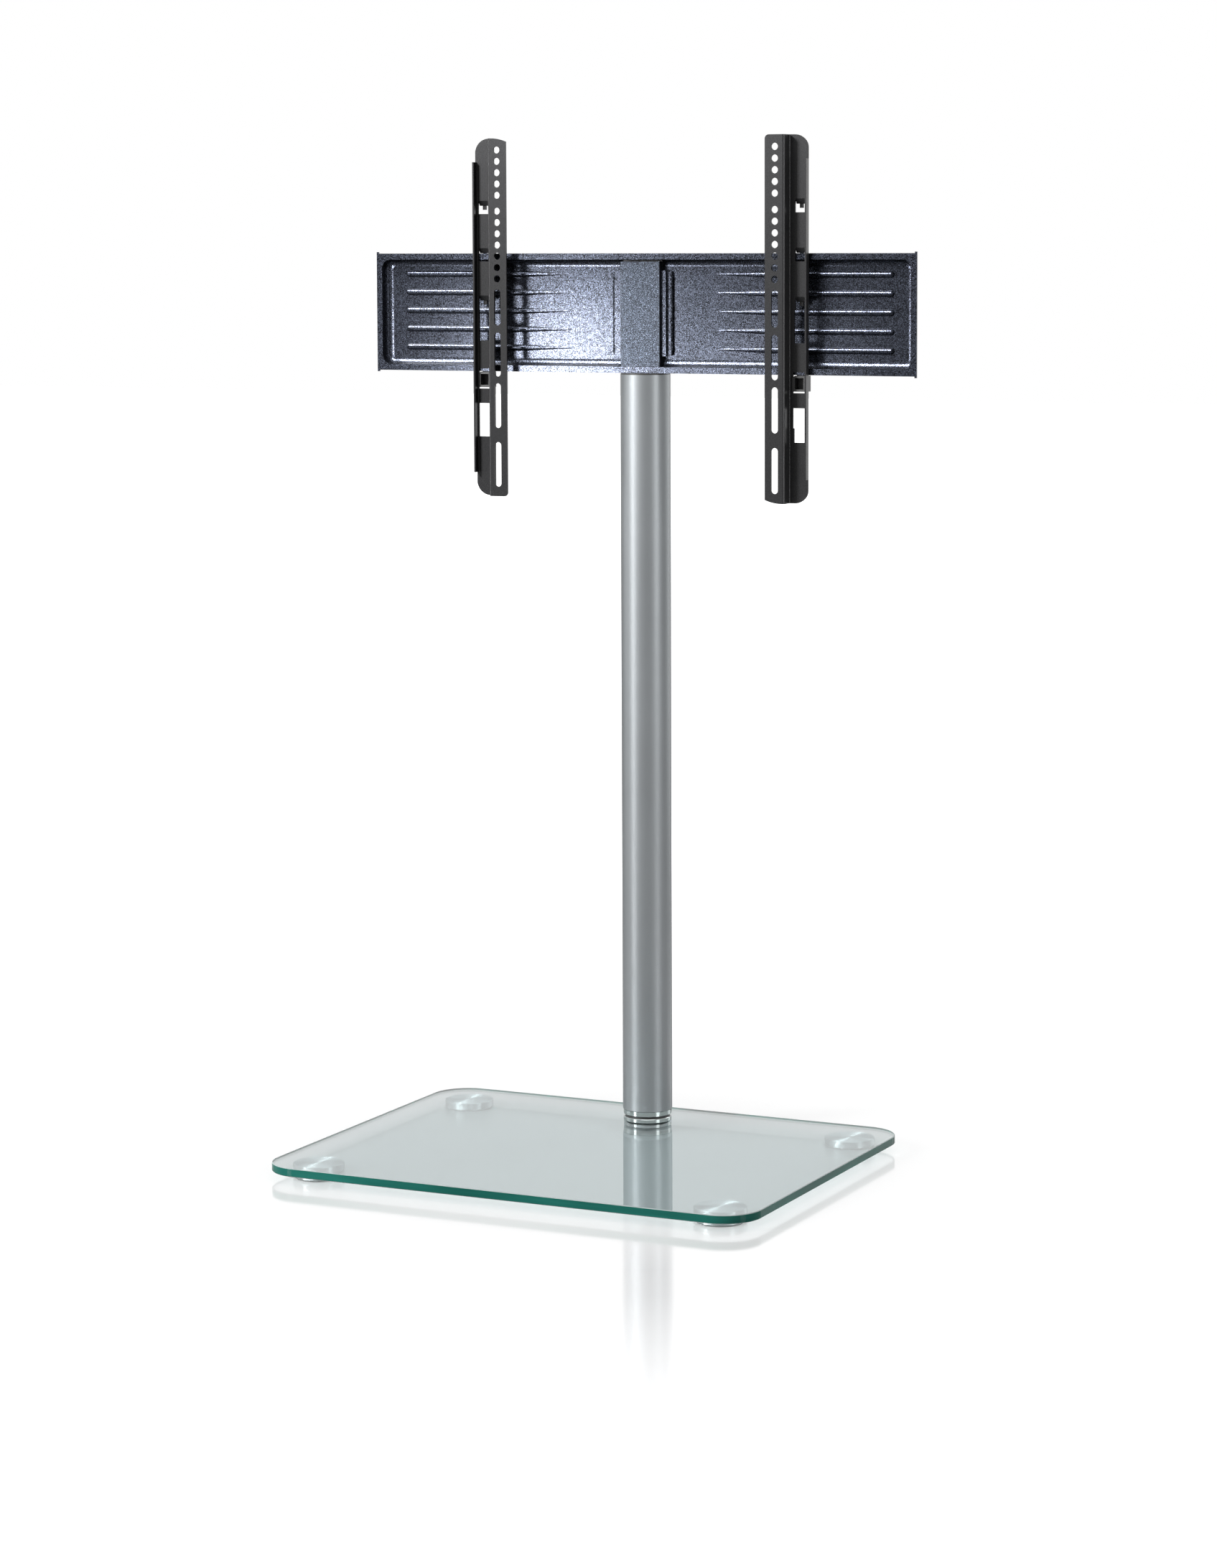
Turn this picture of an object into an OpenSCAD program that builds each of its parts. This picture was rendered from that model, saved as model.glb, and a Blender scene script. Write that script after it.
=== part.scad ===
// Free-standing swivel stand for a flat television: glass base, round pole,
// ribbed steel tray and two punched rails that hook over the tray's lips.
// X is the viewer's right, -Y is the front, Z is up. The origin lies on the floor
// under the middle of the glass.

/* [Glass base] */
// Width of the glass plate
glass_w = 616; // [560:1:680]
// Depth of the glass plate
glass_d = 484; // [420:1:560]
// Thickness of the glass
glass_t = 10; // [8:0.5:15]
// Corner radius of the glass
glass_corner = 45; // [20:1:60]
// Width of the ground arris on the glass edges
glass_arris = 0.8; // [0.4:0.1:1.5]
// Distance of the pole's axis from the back edge of the glass
pole_inset = 74; // [60:1:150]
// Diameter of the hole through the glass
glass_hole_d = 24; // [22:0.5:30]

/* [Feet] */
// Diameter of each foot disc
foot_d = 60; // [40:1:80]
// Height of each foot disc
foot_h = 8; // [6:0.5:14]
// Distance of each foot's centre from the two glass edges
foot_inset = 52; // [45:1:80]
// Diameter of the soft pad under a foot
pad_d = 54; // [30:1:56]
// Height that the pad stands out of the foot
pad_t = 2; // [1:0.5:4]
// Depth of the recess that holds the pad
pad_recess = 0.5; // [0.3:0.1:1]

/* [Swivel] */
// Diameter of the two polished rings
ring_d = 58.5; // [56:0.1:59.5]
// Height of the fixed lower ring
base_ring_h = 5; // [4:0.5:10]
// Height of the upper ring that turns with the pole
plug_ring_h = 6.5; // [4:0.5:10]
// Diameter of the bearing washer between the rings
washer_d = 54; // [48:0.5:56]
// Thickness of the bearing washer
washer_t = 2.5; // [1.5:0.1:4]
// Diameter of the centre bolt
bolt_d = 12; // [10:1:14]
// Radial clearance of the plug on the bolt
bolt_clearance = 0.05; // [0.02:0.01:0.1]
// Thickness of the gaskets on the glass
gasket_t = 0.5; // [0.3:0.1:1]
// Swivel to each side, in degrees
swivel_range = 45; // [20:1:60]
// Diameter of the stop pin
pin_d = 5; // [4:0.5:6]
// Distance of the stop pin from the axis
pin_r = 20; // [18:0.5:22]

/* [Pole] */
// Outer diameter of the pole
pole_d = 60; // [58:1:76]
// Wall thickness of the pole
pole_wall = 2.5; // [2:0.1:4]
// Length of the pole
pole_h = 891; // [600:1:1100]
// Thickness of the ring on the pole's top
cap_t = 2; // [1:0.5:4]
// Length of the spigot inside the pole
spigot_h = 120; // [80:1:200]
// Wall thickness of the spigot
spigot_wall = 4; // [3:0.5:6]
// Fit of plug and spigot in the pole, radial
pole_fit = 0.05; // [0.02:0.01:0.1]
// Diameter of the screws that hold the spigot
screw_d = 8; // [6:1:10]
// Distance of the upper screw from the pole's top
screw_first = 30; // [20:1:40]
// Distance between the two screws
screw_gap = 60; // [30:1:80]

/* [Tray] */
// Width of the tray
tray_w = 708; // [640:1:800]
// Height of the tray
tray_h = 142; // [134:1:180]
// Distance of the lip's front from the pole's axis
tray_front = 19; // [16:0.5:24]
// Depth of the pan behind the lip's front
pan_depth = 14.5; // [12:0.5:16]
// Width of the flat lip all round
lip_w = 7.3; // [6:0.1:10]
// Sheet thickness of the tray
tray_sheet = 2; // [1.5:0.1:2.5]
// Corner radius of the pan
pan_corner = 11; // [10:0.5:20]
// Fillet between the pan's walls and its floor
pan_fillet = 8.5; // [5:0.5:9]
// How far the end stops stand past the lip
stop_h = 1.8; // [1:0.1:4]
// Width of an end stop
stop_w = 2.6; // [2:0.1:5]

/* [Ribs] */
// Number of ribs in each half of the tray
rib_count = 5; // [3:1:5]
// Distance between two ribs
rib_pitch = 22.2; // [20:0.1:24]
// Radius of the pressed rib
rib_r = 3.9; // [3:0.1:5]
// How far the rib's axis lies behind the pan's floor
rib_sink = 0.9; // [0.5:0.1:1.5]
// Distance of the rib's point from the middle
rib_tip = 78; // [60:1:120]
// Length over which the rib tapers to its point
rib_taper = 88; // [40:1:120]
// Distance of the rib's round end from the middle
rib_end = 317; // [280:1:330]

/* [Upright] */
// Width of the box that carries the tray
box_w = 52; // [40:1:52]
// Depth of the box
box_d = 30; // [24:1:32]
// Wall thickness of the box
box_wall = 2; // [1.5:0.5:3]
// Gap between the box's top and the tray's upper edge
box_drop = 9; // [8:0.5:20]
// How far the welded flange stands out on each side of the box
flange_side = 11.5; // [8:0.5:20]
// Height of the welded flange
flange_h = 100; // [60:1:105]
// Thickness of the welded flange
flange_t = 3; // [2:0.5:4]
// How far the doubler on the flange stands out on each side of the box
doubler_side = 6; // [4:0.5:7]
// Thickness of the doubler
doubler_t = 3.5; // [2:0.5:4]

/* [Rails] */
// Height of a rail
rail_h = 430; // [420:1:480]
// Height of the rail's top over the tray's upper edge
rail_rise = 137.7; // [130:0.1:150]
// Distance of the right rail's hole line from the middle
rail_right_x = 183.5; // [150:0.5:250]
// Distance of the left rail's hole line from the middle
rail_left_x = 179.5; // [150:0.5:250]
// Width of the punched front flange
rail_flange_w = 25; // [22:0.5:30]
// Distance of the flange in front of the hook plate
rail_step = 15.8; // [12:0.1:20]
// Distance of the rail's outer edge from the hole line
rail_reach = 36.8; // [34:0.1:40]
// Depth of the bent outer edge
rail_lip = 8; // [5:0.5:12]
// Distance of the bent outer edge's ends from the rail's ends
rail_lip_end = 28; // [20:1:40]
// Sheet thickness of the rails
rail_sheet = 2; // [1.5:0.1:2.5]
// Inner bend radius of the rails
rail_bend = 1; // [0.5:0.1:2]
// Corner radius of the hook plate
rail_corner = 18; // [8:1:20]
// Gap between hook plate and tray lip
rail_gap = 0.2; // [0.1:0.05:0.5]

/* [Fixing holes] */
// Diameter of the round holes and width of the slots
hole_d = 8.5; // [6.5:0.5:9]
// Distance of the first hole from the rail's top
hole_first = 14; // [12:0.5:20]
// Distance between two holes
hole_pitch = 13.5; // [12:0.1:13.6]
// Number of holes in the upper group
hole_count_a = 5; // [3:1:5]
// Number of holes in the second group
hole_count_b = 7; // [5:1:7]

/* [Hooks] */
// Distance between two hooks
hook_pitch = 57; // [54:0.5:60]
// Width of a hook's opening
hook_w = 13.3; // [11:0.1:15]
// Distance of the hooks' middle from the rail's outer edge
hook_inset = 10.6; // [9.8:0.1:12]
// Width of the prong at a hook's end
prong_w = 4.6; // [4:0.1:8]
// Gap between a hook and the tray's lip
hook_gap = 0.3; // [0.2:0.05:0.6]

/* [Lock catches] */
// How far a catch's face overlaps the window on each side
catch_grip = 0.55; // [0.3:0.05:0.7]
// Height of a catch below the tray
catch_h = 18.5; // [16:0.5:19]
// Depth of a catch behind the rail
catch_d = 9; // [8:0.5:14]
// Travel of a catch
catch_travel = 7; // [6:0.5:7]
// Wall of a catch round its finger pocket
catch_wall = 3.4; // [2:0.1:4]

/* [Hidden] */
$fn = 64;
eps = 0.01;
over = 1;

// Colours
c_glass = [0.72, 0.82, 0.80, 0.45];
c_alu = [0.75, 0.76, 0.77];
c_bright = [0.85, 0.86, 0.87];
c_steel = [0.62, 0.63, 0.65];
c_black = [0.08, 0.08, 0.09];
c_graphite = [0.20, 0.21, 0.24];
c_rail = [0.25, 0.26, 0.28];
c_rubber = [0.12, 0.12, 0.12];

// Levels above the floor
foot_z = pad_t;
glass_z = foot_z + foot_h;
glass_top = glass_z + glass_t;
ring_z = glass_top + gasket_t;
washer_z = ring_z + base_ring_h;
running_gap = 0.1;
plug_z = washer_z + washer_t + running_gap;
pole_z = plug_z + plug_ring_h;
cap_z = pole_z + pole_h;
tray_z = cap_z + cap_t;
tray_top = tray_z + tray_h;
rail_top = tray_top + rail_rise;
rail_z = rail_top - rail_h;

// Places seen from above
pole_y = glass_d / 2 - pole_inset;
foot_x = glass_w / 2 - foot_inset;
foot_y = glass_d / 2 - foot_inset;
lip_y = pole_y - tray_front;
pole_bore = pole_d - 2 * pole_wall;

// Swivel hub
hub_d = glass_hole_d - 2;
disc_d = 50;
disc_t = 3;
disc_z = glass_z - gasket_t - disc_t;
bolt_head_h = 4;
bolt_flats = 19;
bolt_bore = bolt_d + 2 * bolt_clearance;
plug_floor = 12;
plug_boss_h = 40;
plug_pocket_d = 36;
spring_t = 1.5;
spring_cone = 0.8;
spring_d = 28;
flat_washer_t = 2.5;
stack_z = plug_z + plug_floor + running_gap;
stack_h = flat_washer_t + 2 * (spring_t + spring_cone);
nut_h = 10;
bolt_top = stack_z + stack_h + nut_h + 3;
pin_depth = 3;
pin_rise = 4;
slot_play = 0.3;

// Pole screws
screw_levels = [screw_first, screw_first + screw_gap];
screw_head_d = 14;
screw_head_h = 4;
screw_bite = pole_wall + spigot_wall;
pole_seat = 0.3;

// Pan of the tray
pan_w = tray_w - 2 * lip_w;
pan_h = tray_h - 2 * lip_w;
rib_groove = rib_r - 1.7;
rib_lift = 1.8;
rib_point = 0.3;
box_play = 0.2;
box_base = tray_z + 5;
box_top = tray_top - box_drop;
flange_z = (tray_z + tray_top - flange_h) / 2 - 0.3;
doubler_rise = 0.8;

// Rail section, measured back from the tray's lip
plate_back = -rail_gap;
plate_front = plate_back - rail_sheet;
flange_front = plate_front - rail_step;
web_x = rail_flange_w / 2;
screw_pair = 100;
group_b_first = hole_first + screw_pair - 2 * hole_pitch;
slot_tops = [group_b_first + hole_count_b * hole_pitch - 1, 232.5, 293.5, 364.5];
slot_ends = [224, 285.5, 347.5, hole_first + 4 * screw_pair + hole_d / 2 + 0.25];
arc_fall = 4.2;
arc_run = 21;
flange_corner = 5;
cut_depth = 60;

// Hooks, measured from the seat on the lip's top edge
hook_x = rail_reach - hook_inset;
hook_count = 3;
hook_seat = tray_top + hook_gap;
hook_rise = 9.3;
hook_fall = 9.8;
hook_back = tray_sheet + 0.4;
prong_fall = lip_w - tray_sheet - 0.5;
prong_shift = 0.6;

// Windows in the hook plate, as distances below the tray's upper edge
window_a = [66.8, 104.8];
window_b = [tray_h - 3.2, tray_h + 21.1];
window_c = [tray_h + 38.7, tray_h + 79];
window_c_step = tray_h + 62.2;
window_in = web_x + 4.4;
window_out = rail_reach - rail_sheet - rail_bend - 0.4;

// Catch
catch_x = (window_in + window_out) / 2;
catch_w = window_out - window_in + 2 * catch_grip;
catch_top = tray_z - 0.7;
catch_low = catch_top - catch_h;
catch_play = 0.35;
face_t = 1.2;
face_play = 0.1;
face_corner = 3;
neck_w = window_out - window_in - 2 * catch_play;
neck_low = tray_top - window_b[1] + catch_travel + 0.5;
body_w = neck_w + 3;
nose_front = tray_sheet + 0.4;
nose_t = 3.5;
nose_rise = 4.7;
nose_w = catch_w - 2 * face_corner - 0.4;
pocket_back = 2;
pocket_rim = 2.6;

// Shared shapes

module at_pole() {
    translate([0, pole_y, 0])
        children();
}

module ring(d_out, d_in, h) {
    difference() {
        cylinder(d = d_out, h = h, $fn = 96);
        translate([0, 0, -over])
            cylinder(d = d_in, h = h + 2 * over);
    }
}

module rounded_rect(w, h, r) {
    union() {
        square([w - 2 * r, h], center = true);
        square([w, h - 2 * r], center = true);
        for (sx = [-1, 1])
            for (sy = [-1, 1])
                translate([sx * (w / 2 - r), sy * (h / 2 - r)])
                    circle(r = r);
    }
}

// Flat plate with round corners and a chamfer all round
module edged_plate(w, d, t, r, c) {
    function side(half) = [
        [-half + c, 0], [half - c, 0], [half, c], [half, t - c],
        [half - c, t], [-half + c, t], [-half, t - c], [-half, c]
    ];
    rotate([90, 0, 90])
        translate([0, 0, -(w / 2 - r)])
            linear_extrude(height = w - 2 * r)
                polygon(side(d / 2));
    rotate([90, 0, 0])
        translate([0, 0, -(d / 2 - r)])
            linear_extrude(height = d - 2 * r)
                polygon(side(w / 2));
    for (sx = [-1, 1])
        for (sy = [-1, 1])
            translate([sx * (w / 2 - r), sy * (d / 2 - r), 0])
                rotate_extrude()
                    polygon([[0, 0], [r - c, 0], [r, c], [r, t - c], [r - c, t], [0, t]]);
}

// Turned disc with small chamfers
module turned_disc(d, h, c) {
    rotate_extrude($fn = 96)
        polygon([[0, 0], [d / 2 - c, 0], [d / 2, c], [d / 2, h - c], [d / 2 - c, h], [0, h]]);
}

// Quarter ring that joins two sheets at a bend
module bend(r_in, t, start) {
    rotate(start)
        difference() {
            intersection() {
                circle(r = r_in + t);
                square(r_in + t);
            }
            circle(r = r_in, $fn = 32);
        }
}

// Glass and feet

module glass_base() {
    color(c_glass)
        difference() {
            translate([0, 0, glass_z])
                edged_plate(glass_w, glass_d, glass_t, glass_corner, glass_arris);
            at_pole()
                translate([0, 0, glass_z - over])
                    cylinder(d = glass_hole_d, h = glass_t + 2 * over);
        }
}

module foot_at(sx, sy) {
    color(c_bright)
        translate([sx * foot_x, sy * foot_y, foot_z])
            difference() {
                turned_disc(foot_d, foot_h, 0.5);
                translate([0, 0, -over])
                    cylinder(d = pad_d + 0.4, h = over + pad_recess);
            }
}

module pad_at(sx, sy) {
    color(c_rubber)
        translate([sx * foot_x, sy * foot_y, 0])
            turned_disc(pad_d, pad_t + pad_recess, 0.3);
}

module foot_front_left() {
    foot_at(-1, -1);
}

module foot_front_right() {
    foot_at(1, -1);
}

module foot_back_left() {
    foot_at(-1, 1);
}

module foot_back_right() {
    foot_at(1, 1);
}

module pad_front_left() {
    pad_at(-1, -1);
}

module pad_front_right() {
    pad_at(1, -1);
}

module pad_back_left() {
    pad_at(-1, 1);
}

module pad_back_right() {
    pad_at(1, 1);
}

// Swivel

module gasket_upper() {
    color(c_rubber)
        at_pole()
            translate([0, 0, glass_top])
                ring(ring_d - 2, glass_hole_d, gasket_t);
}

module gasket_lower() {
    color(c_rubber)
        at_pole()
            translate([0, 0, glass_z - gasket_t])
                ring(disc_d, glass_hole_d, gasket_t);
}

module clamp_disc() {
    color(c_steel)
        at_pole()
            translate([0, 0, disc_z])
                difference() {
                    turned_disc(disc_d, disc_t, 0.4);
                    translate([0, 0, -over])
                        cylinder(d = bolt_bore, h = disc_t + 2 * over);
                }
}

// Ring with the hub that reaches down through the glass to the clamp disc
module base_ring() {
    hub_h = ring_z - disc_z - disc_t;
    color(c_bright)
        at_pole()
            difference() {
                union() {
                    translate([0, 0, ring_z])
                        turned_disc(ring_d, base_ring_h, 0.6);
                    translate([0, 0, disc_z + disc_t])
                        cylinder(d = hub_d, h = hub_h + eps);
                }
                translate([0, 0, disc_z])
                    cylinder(d = bolt_bore, h = washer_z - disc_z + over);
                translate([0, -pin_r, washer_z - pin_depth])
                    cylinder(d = pin_d, h = pin_depth + over);
            }
}

module swivel_washer() {
    color(c_black)
        at_pole()
            translate([0, 0, washer_z])
                difference() {
                    ring(washer_d, bolt_d + 2, washer_t);
                    translate([0, -pin_r, -over])
                        cylinder(d = pin_d + 2 * slot_play, h = washer_t + 2 * over);
                }
}

module stop_pin() {
    color(c_steel)
        at_pole()
            translate([0, -pin_r, washer_z - pin_depth])
                cylinder(d = pin_d, h = pin_depth + washer_t + pin_rise);
}

module centre_bolt() {
    color(c_steel)
        at_pole() {
            translate([0, 0, disc_z - bolt_head_h])
                cylinder(d = bolt_flats / cos(30), h = bolt_head_h, $fn = 6);
            translate([0, 0, disc_z - eps])
                cylinder(d = bolt_d, h = bolt_top - disc_z);
        }
}

// One flat washer below two disc springs set back to back
module spring_washers() {
    bore = bolt_d + 0.4;
    color(c_steel)
        at_pole()
            translate([0, 0, stack_z]) {
                ring(spring_d + 4, bore, flat_washer_t);
                translate([0, 0, flat_washer_t])
                    disc_spring(bore);
                translate([0, 0, flat_washer_t + 2 * (spring_t + spring_cone)])
                    mirror([0, 0, 1])
                        disc_spring(bore);
            }
}

module disc_spring(bore) {
    rotate_extrude()
        polygon([
            [spring_d / 2, 0],
            [spring_d / 2, spring_t],
            [bore / 2, spring_t + spring_cone],
            [bore / 2, spring_cone]
        ]);
}

module lock_nut() {
    collar_h = 3;
    color(c_bright)
        at_pole()
            translate([0, 0, stack_z + stack_h])
                difference() {
                    union() {
                        cylinder(d = bolt_flats / cos(30), h = nut_h - collar_h, $fn = 6);
                        cylinder(d = bolt_flats - 1.5, h = nut_h);
                    }
                    translate([0, 0, -over])
                        cylinder(d = bolt_d, h = nut_h + 2 * over);
                }
}

// Curved slot under the plug in which the stop pin runs
module stop_slot() {
    half = swivel_range + 1;
    depth = pin_rise + 0.6;
    w = pin_d + 2 * slot_play;
    translate([0, 0, -over]) {
        rotate([0, 0, -90 - half])
            rotate_extrude(angle = 2 * half)
                translate([pin_r - w / 2, 0])
                    square([w, depth + over]);
        for (side = [-1, 1])
            rotate([0, 0, side * half])
                translate([0, -pin_r, 0])
                    cylinder(d = w, h = depth + over);
    }
}

module pole_plug() {
    color(c_bright)
        at_pole()
            translate([0, 0, plug_z])
                difference() {
                    union() {
                        turned_disc(ring_d, plug_ring_h, 0.6);
                        cylinder(d = pole_bore - 2 * pole_fit, h = plug_ring_h + plug_boss_h);
                    }
                    translate([0, 0, plug_floor])
                        cylinder(d = plug_pocket_d, h = plug_boss_h + over);
                    translate([0, 0, -over])
                        cylinder(d = bolt_bore, h = plug_floor + 2 * over);
                    stop_slot();
                }
}

// Pole

module pole() {
    color(c_alu)
        at_pole()
            difference() {
                translate([0, 0, pole_z])
                    ring(pole_d, pole_bore, pole_h);
                for (drop = screw_levels)
                    translate([0, 0, cap_z - drop])
                        rotate([-90, 0, 0])
                            cylinder(d = screw_d + 2 * slot_play, h = pole_d);
            }
}

module pole_cap() {
    color(c_black)
        at_pole()
            translate([0, 0, cap_z])
                ring(pole_d - 0.6, pole_bore, cap_t);
}

// Stub in the pole's top, with the foot plate under the upright
module spigot() {
    stub_d = pole_bore - 2 * pole_fit;
    plate_front_y = -tray_front + tray_sheet + 0.3;
    color(c_steel)
        at_pole()
            difference() {
                union() {
                    translate([0, 0, cap_z - spigot_h])
                        ring(stub_d, stub_d - 2 * spigot_wall, spigot_h + cap_t);
                    translate([0, 0, tray_z - eps])
                        intersection() {
                            cylinder(d = stub_d, h = box_base - tray_z);
                            translate([-pole_d, plate_front_y, 0])
                                cube([2 * pole_d, 2 * pole_d, box_base - tray_z]);
                        }
                }
                for (drop = screw_levels)
                    translate([0, 0, cap_z - drop])
                        rotate([-90, 0, 0])
                            cylinder(d = screw_d, h = pole_d);
            }
}

// Button-head screws through the back of the pole
module pole_screws() {
    tip = 3;
    dome_r = 9.5;
    socket_flats = 5;
    socket_h = 2;
    color(c_black)
        at_pole()
            for (drop = screw_levels)
                translate([0, pole_d / 2 - screw_bite - tip, cap_z - drop])
                    rotate([-90, 0, 0]) {
                        cylinder(d = screw_d, h = tip + screw_bite + 1);
                        translate([0, 0, tip + screw_bite + pole_seat])
                            difference() {
                                intersection() {
                                    cylinder(d = screw_head_d, h = screw_head_h);
                                    translate([0, 0, screw_head_h - dome_r])
                                        sphere(r = dome_r);
                                }
                                translate([0, 0, screw_head_h - socket_h])
                                    cylinder(d = socket_flats / cos(30), h = socket_h + over, $fn = 6);
                            }
                    }
}

// Tray

// Section of the pan's wall, its fillet and the strip of floor beside it
module pan_section() {
    flat = pan_corner - pan_fillet;
    translate([0, -pan_depth - tray_sheet])
        square([flat, tray_sheet]);
    translate([flat, -pan_depth + pan_fillet])
        bend(pan_fillet, tray_sheet, -90);
    translate([pan_corner, -pan_depth + pan_fillet])
        square([tray_sheet, pan_depth - pan_fillet]);
}

// Pan pressed back from the plane z = 0: a floor with the section carried all round it
module pan() {
    half_w = pan_w / 2 - pan_corner;
    half_h = pan_h / 2 - pan_corner;
    translate([-half_w, -half_h, -pan_depth - tray_sheet])
        cube([2 * half_w, 2 * half_h, tray_sheet]);
    for (turn = [0, 1])
        rotate([0, 0, 180 * turn]) {
            translate([-half_w, half_h, 0])
                rotate([90, 0, 90])
                    linear_extrude(height = 2 * half_w)
                        pan_section();
            translate([half_w, half_h, 0])
                rotate([90, 0, 0])
                    linear_extrude(height = 2 * half_h)
                        pan_section();
            translate([half_w, half_h, 0])
                rotate_extrude(angle = 90)
                    pan_section();
            translate([-half_w, half_h, 0])
                rotate([0, 0, 90])
                    rotate_extrude(angle = 90)
                        pan_section();
        }
}

// Flat lip round the pan, with an end stop along each side
module tray_lip() {
    translate([0, 0, -tray_sheet])
        linear_extrude(height = tray_sheet)
            difference() {
                union() {
                    square([tray_w, tray_h], center = true);
                    for (s = [-1, 1])
                        translate([s * (tray_w - stop_w) / 2, 0])
                            square([stop_w, tray_h + 2 * stop_h], center = true);
                }
                rounded_rect(pan_w, pan_h, pan_corner);
            }
}

// One pressed rib from its point out to its round end
module rib(r) {
    rotate([0, 90, 0])
        rotate_extrude($fn = 48) {
            polygon([[0, rib_tip], [rib_point, rib_tip], [r, rib_tip + rib_taper], [r, rib_end], [0, rib_end]]);
            translate([0, rib_end])
                intersection() {
                    circle(r = r);
                    square(r);
                }
        }
}

module ribs(r) {
    for (side = [0, 1])
        mirror([side, 0, 0])
            for (i = [0 : rib_count - 1])
                translate([0, (i - (rib_count - 1) / 2) * rib_pitch + rib_lift, -(pan_depth + rib_sink)])
                    rib(r);
}

module tray() {
    sill = 3;
    rear = pan_depth + 10;
    front = tray_front - box_d / 2 - box_play;
    color(c_graphite)
        translate([0, lip_y, (tray_z + tray_top) / 2])
            rotate([90, 0, 0])
                difference() {
                    union() {
                        pan();
                        tray_lip();
                        difference() {
                            ribs(rib_r);
                            translate([-tray_w / 2, -tray_h / 2, -pan_depth - tray_sheet - 2 * rib_r])
                                cube([tray_w, tray_h, 2 * rib_r]);
                        }
                    }
                    ribs(rib_groove);
                    translate([-box_w / 2 - box_play, -tray_h / 2 + sill, -rear])
                        cube([box_w + 2 * box_play, box_top - tray_z - sill + box_play, rear - front]);
                }
}

module upright() {
    color(c_graphite)
        at_pole()
            difference() {
                translate([-box_w / 2, -box_d / 2, box_base])
                    cube([box_w, box_d, box_top - box_base]);
                translate([-box_w / 2 + box_wall, -box_d / 2 + box_wall, box_base - over])
                    cube([box_w - 2 * box_wall, box_d - 2 * box_wall,
                        box_top - box_base - box_wall + over]);
            }
}

// Flange behind the box with a narrower doubler in front of it
module upright_flange() {
    floor_y = lip_y + pan_depth;
    color(c_graphite)
        translate([0, floor_y - flange_t - doubler_t, flange_z])
            difference() {
                union() {
                    translate([-box_w / 2 - flange_side, doubler_t, 0])
                        cube([box_w + 2 * flange_side, flange_t, flange_h]);
                    translate([-box_w / 2 - doubler_side, 0, -doubler_rise])
                        cube([box_w + 2 * doubler_side, doubler_t + eps, flange_h + 2 * doubler_rise]);
                }
                translate([-box_w / 2, -over, -over])
                    cube([box_w, flange_t + doubler_t + 2 * over, flange_h + 2 * over]);
            }
}

// Rails, drawn for the right side with the hole line at x = 0 and the lip's front at y = 0

module rail_section() {
    t = rail_sheet;
    r = rail_bend;
    translate([-web_x, flange_front])
        square([2 * web_x - r - t, t]);
    translate([web_x - r - t, flange_front + r + t])
        bend(r, t, -90);
    translate([web_x - t, flange_front + r + t])
        square([t, rail_step - 2 * r - t]);
    translate([web_x + r, plate_front - r])
        bend(r, t, 90);
    translate([web_x + r, plate_front])
        square([rail_reach - t - r - web_x - r, t]);
    translate([rail_reach - t - r, plate_front - r])
        bend(r, t, 0);
    translate([rail_reach - t, plate_back - rail_sheet - rail_lip])
        square([t, rail_lip - r]);
}

// Round hole or upright slot through the front flange
module flange_slot(top, end) {
    translate([0, flange_front - over, 0])
        rotate([-90, 0, 0]) {
            if (end - top > hole_d + eps)
                translate([-hole_d / 2, top + hole_d / 2, 0])
                    cube([hole_d, end - top - hole_d, rail_sheet + 2 * over]);
            translate([0, top + hole_d / 2, 0])
                cylinder(d = hole_d, h = rail_sheet + 2 * over);
            if (end - top > hole_d + eps)
                translate([0, end - hole_d / 2, 0])
                    cylinder(d = hole_d, h = rail_sheet + 2 * over);
        }
}

module fixing_holes() {
    translate([0, 0, rail_top]) {
        for (i = [0 : hole_count_a - 1])
            flange_slot(hole_first + i * hole_pitch - hole_d / 2,
                hole_first + i * hole_pitch + hole_d / 2);
        for (i = [0 : hole_count_b - 1])
            flange_slot(group_b_first + i * hole_pitch - hole_d / 2,
                group_b_first + i * hole_pitch + hole_d / 2);
        for (i = [0 : len(slot_tops) - 1])
            flange_slot(slot_tops[i], slot_ends[i]);
    }
}

module plate_window(x0, x1, top, end) {
    translate([x0, plate_front - over, tray_top - end])
        cube([x1 - x0, rail_sheet + 2 * over, end - top]);
}

// Arched opening from which a hook is pressed
module hook_opening() {
    translate([hook_x, plate_front - over, hook_seat])
        rotate([-90, 0, 0]) {
            translate([-hook_w / 2, -(hook_rise - hook_w / 2), 0])
                cube([hook_w, hook_rise - hook_w / 2 + hook_fall, rail_sheet + 2 * over]);
            translate([0, -(hook_rise - hook_w / 2), 0])
                cylinder(d = hook_w, h = rail_sheet + 2 * over);
        }
}

// Tongue that slopes back from the plate and ends in a prong behind the lip
module hook_tongue(prong_x) {
    t = rail_sheet;
    knee = 1.5;
    back = hook_back + t;
    slope = [
        [plate_front, hook_rise], [plate_back, hook_rise],
        [back, knee + 1.5], [back, knee - 1.5],
        [hook_back, 0], [hook_back - 0.8, 0.2], [plate_front, hook_rise - 3.2]
    ];
    translate([hook_x, 0, hook_seat]) {
        intersection() {
            translate([-hook_w / 2, 0, 0])
                rotate([90, 0, 90])
                    linear_extrude(height = hook_w)
                        polygon(slope);
            translate([0, -20, hook_rise - hook_w / 2])
                rotate([-90, 0, 0]) {
                    cylinder(d = hook_w, h = 40);
                    translate([-hook_w / 2, 0, 0])
                        cube([hook_w, 2 * hook_w, 40]);
                }
        }
        translate([prong_x - prong_w / 2, hook_back, -prong_fall])
            cube([prong_w, t, prong_fall + knee]);
    }
}

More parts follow.
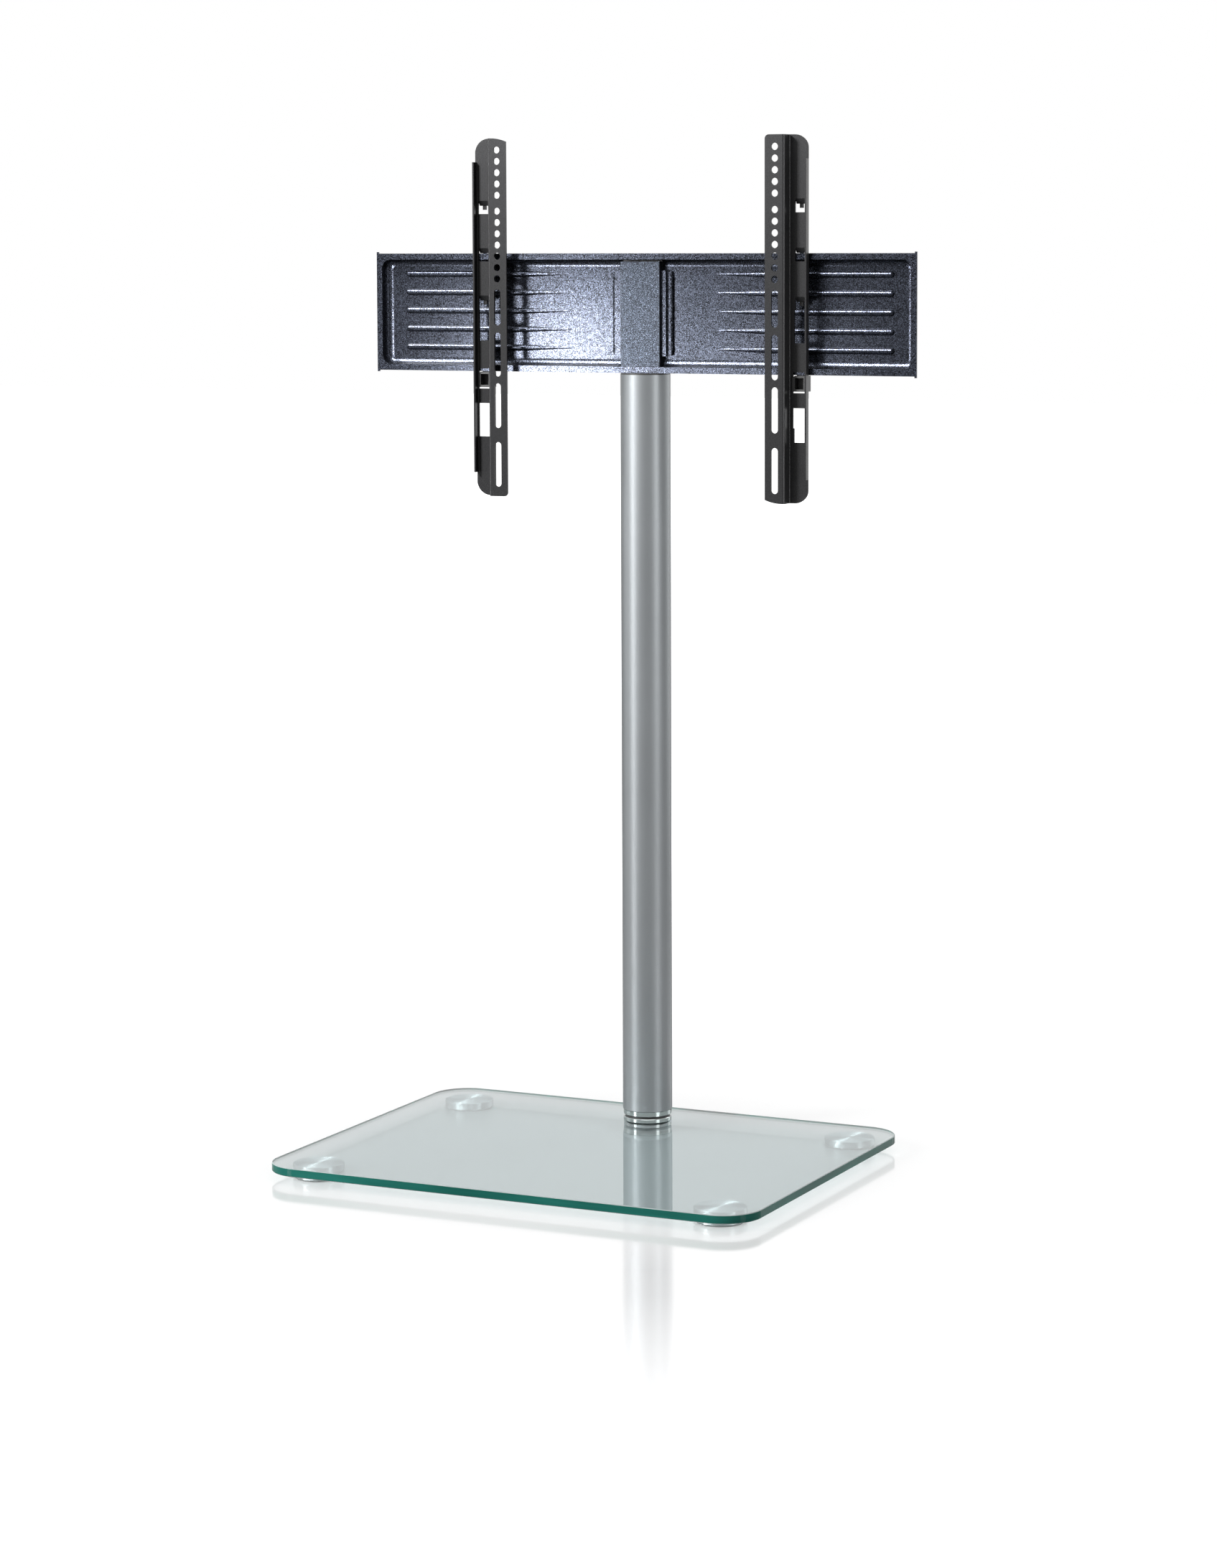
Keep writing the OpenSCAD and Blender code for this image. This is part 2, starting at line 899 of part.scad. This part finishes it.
// Solid that trims the front flange's free corner with radius r at the top end
module corner_cut(r) {
    difference() {
        translate([-over, -over, 0])
            cube([r + over, cut_depth, r + over]);
        translate([r, -2 * over, 0])
            rotate([-90, 0, 0])
                cylinder(r = r, h = cut_depth + 2 * over);
    }
}

// Shallow arc across a flange end
module arc_cut() {
    big = (arc_run * arc_run + arc_fall * arc_fall) / (2 * arc_fall);
    difference() {
        translate([-over, -over, -arc_fall])
            cube([arc_run + over, cut_depth, arc_fall + over]);
        translate([arc_run, -2 * over, -big])
            rotate([-90, 0, 0])
                cylinder(r = big, h = cut_depth + 2 * over, $fn = 128);
    }
}

module flange_end(arc) {
    translate([-web_x, flange_front, rail_h / 2])
        if (arc)
            arc_cut();
        else
            translate([0, 0, -flange_corner])
                corner_cut(flange_corner);
}

module rail_shape(arc_top, arc_bottom, prong_x) {
    mid = rail_z + rail_h / 2;
    lip_cut = rail_lip + rail_sheet + over;
    difference() {
        translate([0, 0, rail_z])
            linear_extrude(height = rail_h)
                rail_section();
        fixing_holes();
        for (i = [0 : hook_count - 1])
            translate([0, 0, (1 - i) * hook_pitch])
                hook_opening();
        plate_window(window_in + 1.5, window_out - 1, window_a[0] - 0.5, window_a[1]);
        plate_window(window_in, window_out, window_b[0], window_b[1]);
        plate_window(window_in, window_out, window_c[0], window_c_step);
        plate_window(window_in + 1.4, window_out, window_c_step - eps, window_c[1]);
        for (flip = [0, 1])
            translate([0, 0, mid])
                mirror([0, 0, flip]) {
                    translate([rail_reach, plate_front - over, rail_h / 2 - rail_corner])
                        mirror([1, 0, 0])
                            corner_cut(rail_corner);
                    translate([rail_reach - rail_sheet - rail_bend, plate_front - lip_cut,
                        rail_h / 2 - rail_lip_end])
                        cube([rail_sheet + rail_bend + over, lip_cut, rail_lip_end + over]);
                    flange_end(flip == 0 ? arc_top : arc_bottom);
                }
    }
    for (i = [0 : hook_count - 1])
        translate([0, 0, (1 - i) * hook_pitch])
            hook_tongue(prong_x);
}

module right_place() {
    translate([rail_right_x, lip_y, 0])
        children();
}

module left_place() {
    translate([-rail_left_x, lip_y, 0])
        mirror([1, 0, 0])
            children();
}

module rail_right() {
    color(c_rail)
        right_place()
            rail_shape(false, true, -prong_shift);
}

module rail_left() {
    color(c_rail)
        left_place()
            rail_shape(true, false, prong_shift);
}

// Catches

// Sliding catch: a face and a body that grip the plate's window between them, and a nose
// that stands behind the tray's lower lip. The same moulding serves both rails, so the cut
// corner lies on one side of it in one rail and on the other side in the other.
module catch_shape(corner_side) {
    face_y = plate_front - face_play - face_t;
    body_y = plate_back + face_play;
    color(c_black)
        translate([catch_x, 0, 0])
            difference() {
                union() {
                    translate([-catch_w / 2, face_y, catch_low])
                        cube([catch_w, face_t, catch_h]);
                    translate([-neck_w / 2, face_y + face_t - eps, neck_low])
                        cube([neck_w, body_y - face_y - face_t + 2 * eps, catch_top - neck_low]);
                    translate([-body_w / 2, body_y, catch_low])
                        cube([body_w, catch_d - body_y, catch_h]);
                    translate([-nose_w / 2, nose_front, catch_top - eps])
                        cube([nose_w, nose_t, tray_z + nose_rise - catch_top]);
                }
                translate([-catch_w / 2 + catch_wall, face_y - over, catch_low + pocket_rim])
                    cube([catch_w - 2 * catch_wall, catch_d - pocket_back - face_y + over,
                        catch_h - 2 * pocket_rim]);
                translate([corner_side * catch_w / 2, catch_d + over, catch_top])
                    rotate([90, 0, 0])
                        linear_extrude(height = catch_d + 2 * over - face_y)
                            polygon([
                                [-corner_side * face_corner, 0], [corner_side * over, 0],
                                [corner_side * over, -face_corner - over], [0, -face_corner]
                            ]);
            }
}

module catch_right() {
    right_place()
        catch_shape(-1);
}

module catch_left() {
    left_place()
        catch_shape(1);
}

glass_base();
foot_front_left();
foot_front_right();
foot_back_left();
foot_back_right();
pad_front_left();
pad_front_right();
pad_back_left();
pad_back_right();
gasket_upper();
gasket_lower();
clamp_disc();
base_ring();
swivel_washer();
stop_pin();
centre_bolt();
spring_washers();
lock_nut();
pole_plug();
pole();
pole_cap();
spigot();
pole_screws();
tray();
upright();
upright_flange();
rail_left();
rail_right();
catch_left();
catch_right();
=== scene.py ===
import math

import bmesh
import bpy
from mathutils import Matrix, Vector, noise


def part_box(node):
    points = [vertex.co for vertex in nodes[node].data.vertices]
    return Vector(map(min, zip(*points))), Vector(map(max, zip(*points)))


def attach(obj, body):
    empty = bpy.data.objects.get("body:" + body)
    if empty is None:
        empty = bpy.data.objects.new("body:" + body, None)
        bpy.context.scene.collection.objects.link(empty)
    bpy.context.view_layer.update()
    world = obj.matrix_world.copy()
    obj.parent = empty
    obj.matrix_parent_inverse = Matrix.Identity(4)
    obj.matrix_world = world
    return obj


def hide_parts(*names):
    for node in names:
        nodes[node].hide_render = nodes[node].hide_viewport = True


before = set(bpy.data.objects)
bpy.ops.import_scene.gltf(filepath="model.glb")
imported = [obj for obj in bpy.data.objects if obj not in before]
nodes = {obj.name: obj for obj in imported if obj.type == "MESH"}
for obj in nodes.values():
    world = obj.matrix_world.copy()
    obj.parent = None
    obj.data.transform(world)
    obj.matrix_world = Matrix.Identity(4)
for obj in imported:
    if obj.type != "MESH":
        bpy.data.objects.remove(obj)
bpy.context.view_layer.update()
scene = bpy.context.scene


# Shader helpers

class Shader:
    """Node tree of a new material or world, with short calls for the nodes used here."""

    def __init__(self, name, kind="Material"):
        store = bpy.data.worlds if kind == "World" else bpy.data.materials
        self.made = store.new(name)
        self.made.use_nodes = True
        self.tree = self.made.node_tree
        self.tree.nodes.clear()
        self.out = self.new("ShaderNodeOutput" + kind)

    def new(self, kind, **settings):
        node = self.tree.nodes.new(kind)
        for key, value in settings.items():
            setattr(node, key, value)
        return node

    def put(self, socket, value):
        """Link the socket to another, or set its own value. Three numbers are a colour."""
        if isinstance(value, bpy.types.NodeSocket):
            self.tree.links.new(value, socket)
        elif isinstance(value, tuple):
            socket.default_value = (*value, 1)
        else:
            socket.default_value = value

    def filled(self, kind, *values, **settings):
        """New node whose first inputs take these values, in order."""
        node = self.new(kind, **settings)
        for socket, value in zip(node.inputs, values):
            self.put(socket, value)
        return node

    def at(self, kind):
        return self.new("ShaderNodeTexCoord").outputs[kind]

    def mapping(self, source, scale, place=(0, 0, 0)):
        node = self.filled("ShaderNodeMapping", source)
        node.inputs["Scale"].default_value = scale
        node.inputs["Location"].default_value = place
        return node.outputs[0]

    def math(self, op, *values, clamp=False):
        return self.filled("ShaderNodeMath", *values, operation=op, use_clamp=clamp).outputs[0]

    def length(self, source):
        return self.filled("ShaderNodeVectorMath", source, operation="LENGTH").outputs["Value"]

    def noise(self, source, scale, detail=2.0, rough=0.5):
        node = self.filled("ShaderNodeTexNoise", source)
        node.inputs["Scale"].default_value = scale
        node.inputs["Detail"].default_value = detail
        node.inputs["Roughness"].default_value = rough
        return node.outputs["Fac"]

    def ramp(self, fac, stops):
        node = self.filled("ShaderNodeValToRGB", fac)
        points = node.color_ramp.elements
        while len(points) < len(stops):
            points.new(0.5)
        for point, (place, colour) in zip(points, stops):
            point.position = place
            point.color = (*colour, 1)
        return node.outputs["Color"]

    def scale(self, value, low, high, start=0.0, end=1.0):
        """From low, where the value is start or less, to high, where it is end or more."""
        node = self.filled("ShaderNodeMapRange", value)
        node.inputs["From Min"].default_value = start
        node.inputs["From Max"].default_value = end
        node.inputs["To Min"].default_value = low
        node.inputs["To Max"].default_value = high
        return node.outputs["Result"]

    def fade(self, value, start, end):
        """From 0 to 1, as the value goes from start to end."""
        return self.scale(value, 0.0, 1.0, start, end)

    def swing(self, value, amount):
        """From minus the amount to the amount, as the value goes from 0 to 1."""
        return self.scale(value, -amount, amount)

    def mix(self, fac, a, b):
        """Colour between a and b."""
        node = self.new("ShaderNodeMix", data_type="RGBA")
        self.put(node.inputs["Factor"], fac)
        self.put(node.inputs[6], a)
        self.put(node.inputs[7], b)
        return node.outputs[2]

    def bump(self, height, strength, distance):
        node = self.new("ShaderNodeBump")
        self.put(node.inputs["Height"], height)
        node.inputs["Strength"].default_value = strength
        node.inputs["Distance"].default_value = distance
        return node.outputs[0]

    def principled(self, **sockets):
        node = self.new("ShaderNodeBsdfPrincipled")
        for name, value in sockets.items():
            self.put(node.inputs[name.replace("_", " ")], value)
        return node.outputs[0]

    def blend(self, fac, a, b):
        """Shader between a and b."""
        return self.filled("ShaderNodeMixShader", fac, a, b).outputs[0]

    def shown(self, shader):
        """The finished material or world, with this shader as its surface."""
        self.put(self.out.inputs["Surface"], shader)
        return self.made


def times(colour, factor):
    return tuple(c * factor for c in colour)


def give(material, *names):
    for name in names:
        data = nodes[name].data
        data.materials.clear()
        data.materials.append(material)


# Materials. GLASS_SHADE tints the light that passes the glass, and the glass edge's colour ramp stops give the
# edge's own green with painted reflections: near-black patches and darker greens.

GRAIN_DEPTH = 0.0002
PEEL_DEPTH = 0.0003
GLASS_IOR = 1.32
GLASS_FACE = (0.77, 0.83, 0.84)
GLASS_SHADE = (0.84, 0.90, 0.90)
# Painted reflections: the first stops are near-black and dark green patches laid on the edge's own green
GLASS_EDGE_GREEN_AND_REFLECTIONS = [(0.30, (0.003, 0.012, 0.010)), (0.36, (0.004, 0.055, 0.043)),
              (0.60, (0.008, 0.085, 0.068)), (0.80, (0.014, 0.120, 0.097))]
GRAPHITE = (0.0025, 0.0028, 0.0038)


def glass_material():
    """Float glass: clear faces, which let most of a lamp's light pass, and edges in their own green, with painted
    reflections as near-black and darker patches.
    """
    s = Shader("base_glass")
    normal = s.new("ShaderNodeNewGeometry").outputs["True Normal"]
    upright = s.filled("ShaderNodeSeparateXYZ", normal).outputs[2]
    face = s.fade(s.math("ABSOLUTE", upright), 0.55, 0.85)
    # Noise spreads painted reflections, near-black and darker green patches, over the edge's own green
    edge = s.ramp(s.noise(s.mapping(s.at("Object"), (6, 6, 60)), scale=1.0), GLASS_EDGE_GREEN_AND_REFLECTIONS)
    body = s.principled(Base_Color=s.mix(face, edge, GLASS_FACE), Roughness=0.0, IOR=GLASS_IOR,
                        Transmission_Weight=face, Specular_IOR_Level=s.scale(face, 0.2, 0.5))
    clear = s.filled("ShaderNodeBsdfTransparent", GLASS_SHADE).outputs[0]
    path = s.new("ShaderNodeLightPath").outputs
    passing = s.math("MAXIMUM", path["Is Shadow Ray"], path["Is Diffuse Ray"])
    return s.shown(s.blend(s.math("MULTIPLY", passing, face), body, clear))


def turned_material(name, colour, rough, rings, depth, streak):
    """Metal with fine turned rings round the piece's own upright axis."""
    s = Shader(name)
    centred = s.mapping(s.at("Generated"), (1, 1, 0), (-0.5, -0.5, 0))
    wave = s.noise(s.math("MULTIPLY", s.length(centred), rings), scale=1.0, detail=3.0, rough=0.7)
    tint = s.mix(s.fade(wave, 0.3, 0.7), times(colour, 0.86), colour)
    tangent = s.new("ShaderNodeTangent", direction_type="RADIAL", axis="Z").outputs[0]
    return s.shown(s.principled(
        Base_Color=tint, Metallic=1.0, Roughness=s.scale(wave, rough * 0.85, rough * 1.15),
        Anisotropic=streak, Anisotropic_Rotation=0.25, Tangent=tangent,
        Normal=s.bump(wave, strength=0.25, distance=depth)))


def satin_material(name, colour, rough, grain=2600.0, strength=0.12):
    """Satin metal: a fine even grain and a faint cloudy change of tone."""
    s = Shader(name)
    at = s.at("Object")
    fine = s.noise(at, grain)
    cloud = s.noise(at, scale=9.0)
    gloss = s.math("ADD", s.swing(fine, 0.04), s.scale(cloud, rough - 0.02, rough + 0.02))
    return s.shown(s.principled(Base_Color=s.mix(cloud, times(colour, 0.9), colour), Metallic=1.0,
                                Roughness=gloss, Normal=s.bump(fine, strength, GRAIN_DEPTH)))


def paint_material(name, dark, flake, grain, rough, metallic, peel=0.04, sparkle=1.0):
    """Metallic powder coat: grains and a few sparkles in a dark base, with a fine peel."""
    s = Shader(name)
    at = s.at("Object")
    speck = s.fade(s.noise(at, grain, detail=3.0, rough=0.65), 0.42, 0.68)
    cloud = s.swing(s.noise(at, scale=11.0), 0.08)
    tint = s.mix(s.math("ADD", speck, cloud, clamp=True), dark, flake)
    glitter = s.fade(s.noise(at, grain * 2.2, detail=1.0), 0.60, 0.72)
    skin = s.noise(at, grain * 1.7)
    return s.shown(s.principled(
        Base_Color=s.mix(glitter, tint, times(flake, sparkle)), Metallic=metallic, Specular_IOR_Level=0.4,
        Roughness=s.math("ADD", s.swing(skin, 0.05), rough), Normal=s.bump(skin, peel, PEEL_DEPTH)))


def plastic_material(name, colour, rough):
    """Moulded plastic or rubber: a fine grain and a faint cloudy change of tone."""
    s = Shader(name)
    at = s.at("Object")
    grain = s.noise(at, scale=1900.0, detail=3.0)
    cloud = s.noise(at, scale=30.0)
    return s.shown(s.principled(Base_Color=s.mix(cloud, times(colour, 0.8), colour),
                                Roughness=s.math("ADD", s.swing(grain, 0.06), rough),
                                Normal=s.bump(grain, 0.2, GRAIN_DEPTH)))


glass = glass_material()
foot_metal = turned_material("spun_aluminium", (0.54, 0.57, 0.575), rough=0.46, rings=150.0,
                             depth=0.0002, streak=1.0)
ring_metal = turned_material("polished_ring", (0.42, 0.455, 0.45), rough=0.16, rings=60.0,
                             depth=0.00004, streak=0.3)
pole_metal = satin_material("satin_aluminium", (0.262, 0.277, 0.287), rough=0.42)
zinc = satin_material("zinc_steel", (0.55, 0.56, 0.58), rough=0.32, grain=900.0, strength=0.2)
black_steel = satin_material("black_steel", (0.05, 0.05, 0.055), rough=0.35)
tray_paint = paint_material("graphite_paint", GRAPHITE, (0.031, 0.035, 0.047), grain=620.0,
                            rough=0.27, metallic=0.92, peel=0.03, sparkle=3.5)
box_paint = paint_material("box_paint", GRAPHITE, (0.0195, 0.023, 0.030), grain=700.0,
                           rough=0.40, metallic=0.92, peel=0.05, sparkle=4.5)
rail_paint = paint_material("rail_paint", (0.010, 0.010, 0.0105), (0.026, 0.026, 0.0275), grain=900.0,
                            rough=0.38, metallic=0.5)
black_plastic = plastic_material("black_plastic", (0.018, 0.018, 0.018), rough=0.45)
dark_rubber = plastic_material("dark_rubber", (0.03, 0.03, 0.03), rough=0.8)
pad_rubber = plastic_material("pad_rubber", (0.62, 0.63, 0.63), rough=0.6)

give(glass, "glass_base")
give(pad_rubber, "pad_front_left", "pad_front_right", "pad_back_left", "pad_back_right")
give(dark_rubber, "gasket_upper", "gasket_lower")
give(ring_metal, "base_ring", "pole_plug")
give(zinc, "clamp_disc", "stop_pin", "centre_bolt", "spring_washers", "lock_nut", "spigot")
give(black_plastic, "swivel_washer", "pole_cap", "catch_left", "catch_right")
give(pole_metal, "pole")
give(black_steel, "pole_screws")
give(tray_paint, "tray", "upright_flange")
give(box_paint, "upright")
give(rail_paint, "rail_left", "rail_right")


def piece_of(made, name, material):
    """Object with the shape of a bmesh, which is used up, and one material."""
    mesh = bpy.data.meshes.new(name)
    made.to_mesh(mesh)
    made.free()
    mesh.materials.append(material)
    piece = bpy.data.objects.new(name, mesh)
    scene.collection.objects.link(piece)
    return piece


# Feet

PAD_CLEARANCE = 0.0002
BOND_GAP = 0.0001
FOOT_CHAMFER = 0.0005


def lathe(profile, centre, steps=96):
    """Closed bmesh turned from (radius, height) points, the first and last of them on the axis."""
    made = bmesh.new()
    ends = [made.verts.new((centre.x, centre.y, z)) for z in (profile[0][1], profile[-1][1])]
    turn = [2 * math.pi * i / steps for i in range(steps)]
    rings = [[made.verts.new((centre.x + radius * math.cos(a), centre.y + radius * math.sin(a), height))
              for a in turn] for radius, height in profile[1:-1]]
    for i in range(steps):
        j = (i + 1) % steps
        made.faces.new((ends[0], rings[0][j], rings[0][i]))
        made.faces.new((ends[1], rings[-1][i], rings[-1][j]))
        for low, high in zip(rings, rings[1:]):
            made.faces.new((low[i], low[j], high[j], high[i]))
    return made


def turned_foot(node):
    """Spun disc with a recess for its pad, small chamfers and a bond line's gap under the glass."""
    low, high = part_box(node)
    pad_low, pad_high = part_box(node.replace("foot", "pad"))
    radius = (high.x - low.x) / 2
    recess = (pad_high.x - pad_low.x) / 2 + PAD_CLEARANCE
    top = high.z - BOND_GAP
    profile = [(0, pad_high.z), (recess, pad_high.z), (recess, low.z),
               (radius - FOOT_CHAMFER, low.z), (radius, low.z + FOOT_CHAMFER),
               (radius, top - FOOT_CHAMFER), (radius - FOOT_CHAMFER, top), (0, top)]
    piece = piece_of(lathe(profile, (low + high) / 2), node + "_turned", foot_metal)
    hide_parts(node)
    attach(piece, "base")
    return piece


feet = [turned_foot(node) for node in ("foot_front_left", "foot_front_right", "foot_back_left", "foot_back_right")]


# Upright's edges and the weld beads beside it

EASED_RADIUS = 0.0009
SHARP_ANGLE = math.radians(60)
FLAT_ANGLE = math.radians(1)
BEAD_RADIUS = 0.0014
BEAD_SWELL = 0.0005
BEAD_DRIFT = 0.0005
BEAD_RIPPLE = 0.0002
BEAD_RIPPLE_PITCH = 0.0024
BEAD_TAPER_STEPS = 4
BEAD_FROM_FLANGE = 0.0006
BEAD_FROM_PAN = 0.0022
BEAD_SHORT = 0.001


def eased(node, width, material):
    """Copy of a CAD node with its sharp edges rounded."""
    made = bmesh.new()
    made.from_mesh(nodes[node].data)
    bmesh.ops.remove_doubles(made, verts=made.verts, dist=1e-6)
    bmesh.ops.dissolve_limit(made, angle_limit=FLAT_ANGLE, verts=made.verts, edges=made.edges)
    sharp = [edge for edge in made.edges
             if len(edge.link_faces) == 2 and edge.calc_face_angle(0) > SHARP_ANGLE]
    bmesh.ops.bevel(made, geom=sharp, offset=width, segments=3, profile=0.5, affect="EDGES",
                    clamp_overlap=True)
    piece = piece_of(made, node + "_eased", material)
    piece.matrix_world = nodes[node].matrix_world.copy()
    return piece


def weld_bead(name, x, y, low, high, steps=90, sides=8):
    """Uneven bead laid upright along the flange's edge. The noise's factors are steps per metre."""
    made = bmesh.new()
    rings = []
    for i in range(steps + 1):
        z = low + (high - low) * i / steps
        swell = noise.noise(Vector((x * 900, y * 300, z * 420)))
        drift = noise.noise(Vector((x * 300, 5, z * 260)))
        ripple = math.sin(2 * math.pi * z / BEAD_RIPPLE_PITCH)
        taper = min(1, (i + 1) / BEAD_TAPER_STEPS, (steps - i + 1) / BEAD_TAPER_STEPS)
        radius = (BEAD_RADIUS + BEAD_SWELL * swell + BEAD_RIPPLE * ripple) * taper
        turn = [2 * math.pi * k / sides for k in range(sides)]
        rings.append([made.verts.new((x + BEAD_DRIFT * drift + radius * math.cos(a),
                                      y + radius * math.sin(a), z)) for a in turn])
    for low_ring, high_ring in zip(rings, rings[1:]):
        for k in range(sides):
            n = (k + 1) % sides
            made.faces.new((low_ring[k], low_ring[n], high_ring[n], high_ring[k]))
    made.faces.new(rings[0][::-1])
    made.faces.new(rings[-1])
    piece = piece_of(made, name, tray_paint)
    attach(piece, "pole")
    return piece


box = eased("upright", EASED_RADIUS, box_paint)
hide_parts("upright")
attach(box, "pole")

flange_low, flange_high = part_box("upright_flange")
beads = [weld_bead("weld_bead_" + side, x, flange_high.y - BEAD_FROM_PAN,
                   flange_low.z + BEAD_SHORT, flange_high.z - BEAD_SHORT)
         for side, x in (("left", flange_low.x - BEAD_FROM_FLANGE), ("right", flange_high.x + BEAD_FROM_FLANGE))]


# Camera, fitted to points on the glass, the pole and the tray

PHOTO_HEIGHT_PX = 2184
FOCAL_PX = 5661.44
MIDDLE_ROW_PX = 886.19
CAMERA_PLACE = (2.0586, -4.2414, 1.0992)
CAMERA_PITCH = 0.1
CAMERA_YAW = 0.44612
CAMERA_ROLL = -0.003894


def look(position, pitch, yaw, roll):
    """Camera matrix from its place, the angle down, the angle of view from +Y and the roll, in radians."""
    forward = Vector((-math.sin(yaw) * math.cos(pitch), math.cos(yaw) * math.cos(pitch), -math.sin(pitch)))
    right = forward.cross(Vector((0, 0, 1))).normalized()
    up = right.cross(forward)
    c, s = math.cos(roll), math.sin(roll)
    x = right * c + up * s
    y = up * c - right * s
    rows = Matrix((x, y, -forward)).transposed().to_4x4()
    return Matrix.Translation(position) @ rows


camera_data = bpy.data.cameras.new("camera")
camera_data.sensor_fit = "AUTO"
camera_data.sensor_width = 36.0
camera_data.lens = FOCAL_PX / PHOTO_HEIGHT_PX * camera_data.sensor_width
camera_data.shift_y = (MIDDLE_ROW_PX - PHOTO_HEIGHT_PX / 2) / PHOTO_HEIGHT_PX
camera_data.clip_end = 100.0
camera = bpy.data.objects.new("camera", camera_data)
scene.collection.objects.link(camera)
camera.matrix_world = look(Vector(CAMERA_PLACE), CAMERA_PITCH, CAMERA_YAW, CAMERA_ROLL)
scene.camera = camera


# Floor and world, both white to the camera

FLOOR_REACH = 20
FLOOR_GLOW = 0.33
FAR_GLOW = 1.2
GLOSS_UNDER_GLASS = 0.25
GLOSS_BESIDE_GLASS = 0.62
GLOSS_ROUGHNESS = 0.10
AMBIENT = 0.30


def floor_material():
    """White floor, dimly glossy round the glass and brighter to the camera farther out. Reach is in metres."""
    s = Shader("floor_white")
    at = s.at("Object")
    reach = s.length(at)
    body = s.principled(Base_Color=s.mix(s.noise(at, scale=3.0), (0.86, 0.86, 0.865), (0.88, 0.88, 0.88)),
                        Roughness=0.8, Specular_IOR_Level=0.0)
    gloss = s.new("ShaderNodeBsdfAnisotropic")
    gloss.inputs["Roughness"].default_value = GLOSS_ROUGHNESS
    near = s.scale(reach, GLOSS_UNDER_GLASS, GLOSS_BESIDE_GLASS, start=0.28, end=0.5)
    far = s.scale(reach, GLOSS_BESIDE_GLASS, 0.0, start=0.5, end=1.6)
    surface = s.blend(s.math("MINIMUM", near, far), body, gloss.outputs[0])
    seen = s.new("ShaderNodeLightPath").outputs["Is Camera Ray"]
    glow = s.new("ShaderNodeEmission")
    strength = s.scale(reach, FLOOR_GLOW, FAR_GLOW, start=0.6, end=2.2)
    s.put(glow.inputs["Strength"], s.math("MULTIPLY", seen, strength))
    return s.shown(s.filled("ShaderNodeAddShader", surface, glow.outputs[0]).outputs[0])


def studio_world():
    """White where it is seen, straight, mirrored or through the glass, and a dim light on the rest."""
    s = Shader("studio", "World")
    white = s.filled("ShaderNodeBackground", (1, 1, 1), 1.0).outputs[0]
    ambient = s.filled("ShaderNodeBackground", (1, 1, 1), AMBIENT).outputs[0]
    path = s.new("ShaderNodeLightPath").outputs
    direct = s.math("MAXIMUM", path["Is Camera Ray"], path["Is Glossy Ray"])
    return s.shown(s.blend(s.math("MAXIMUM", direct, path["Is Transmission Ray"]), ambient, white))


def plane(name, reach, z, material):
    """Level square of staging, which isn't part of the object."""
    mesh = bpy.data.meshes.new(name)
    mesh.from_pydata([(-reach, -reach, z), (reach, -reach, z), (reach, reach, z), (-reach, reach, z)], [],
                     [(0, 1, 2, 3)])
    mesh.materials.append(material)
    made = bpy.data.objects.new(name, mesh)
    scene.collection.objects.link(made)
    return made


floor_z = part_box("pad_front_left")[0].z
floor = plane("floor", FLOOR_REACH, floor_z, floor_material())
scene.world = studio_world()


# Lamps

def lamp(name, position, target, width, height, power, only=(), never=()):
    """Rectangular lamp that faces its target and lights these objects only, or all but these."""
    data = bpy.data.lights.new(name, "AREA")
    data.shape = "RECTANGLE"
    data.size = width
    data.size_y = height
    data.energy = power
    made = bpy.data.objects.new(name, data)
    scene.collection.objects.link(made)
    made.location = position
    aim = Vector(target) - Vector(position)
    made.rotation_euler = aim.to_track_quat("-Z", "Y").to_euler()
    made.visible_camera = False
    if only or never:
        group = bpy.data.collections.new(name + "_link")
        for i, item in enumerate(only or never):
            group.objects.link(item)
            group.collection_objects[i].light_linking.link_state = "INCLUDE" if only else "EXCLUDE"
        made.light_linking.receiver_collection = group


POLE = (0, 0.15, 0.9)
TRAY = (-0.05, 0.16, 0.95)
RAILS = (0, 0.15, 1.0)
painted = [nodes["tray"], nodes["upright_flange"], box, *beads]
rails = [nodes["rail_left"], nodes["rail_right"]]

# Name, place, target, width, height and power of each
lamp("key", (-1.0, -1.3, 2.1), TRAY, 0.45, 0.45, 130, never=[floor, *painted, *feet])
lamp("strip", (-1.9, -2.3, 1.1), POLE, 0.60, 2.2, 38, never=[*painted, *rails])
lamp("side", (2.9, -0.6, 1.2), POLE, 0.8, 2.0, 22)
lamp("left_fill", (-2.7, -0.25, 1.1), POLE, 1.2, 2.2, 8)
lamp("back_fill", (1.3, 2.7, 1.1), POLE, 1.0, 2.2, 13)
lamp("top", (0.2, -0.2, 3.4), (0, 0.1, 0.6), 2.4, 1.6, 20)

# The gleams on the dark paint and on the feet
lamp("low", (-0.41, -0.47, 0.90), (-0.1, 0.17, 0.93), 0.12, 0.16, 7.8, only=painted)
lamp("low_right", (-0.16, -0.47, 0.87), (0.12, 0.17, 0.93), 0.16, 0.12, 1.3, only=painted)
lamp("over", (-0.55, -0.60, 1.90), TRAY, 1.5, 0.6, 240, only=painted)
lamp("rim", (2.5, -0.9, 1.1), RAILS, 0.10, 1.6, 30, only=rails)
lamp("left_rim", (-2.5, -0.6, 1.1), RAILS, 0.10, 1.6, 20, only=rails)
lamp("glint", (-0.6, 3.1, 0.85), (0, 0, 0), 1.2, 0.7, 0.2, only=feet)

scene.view_settings.view_transform = "Standard"
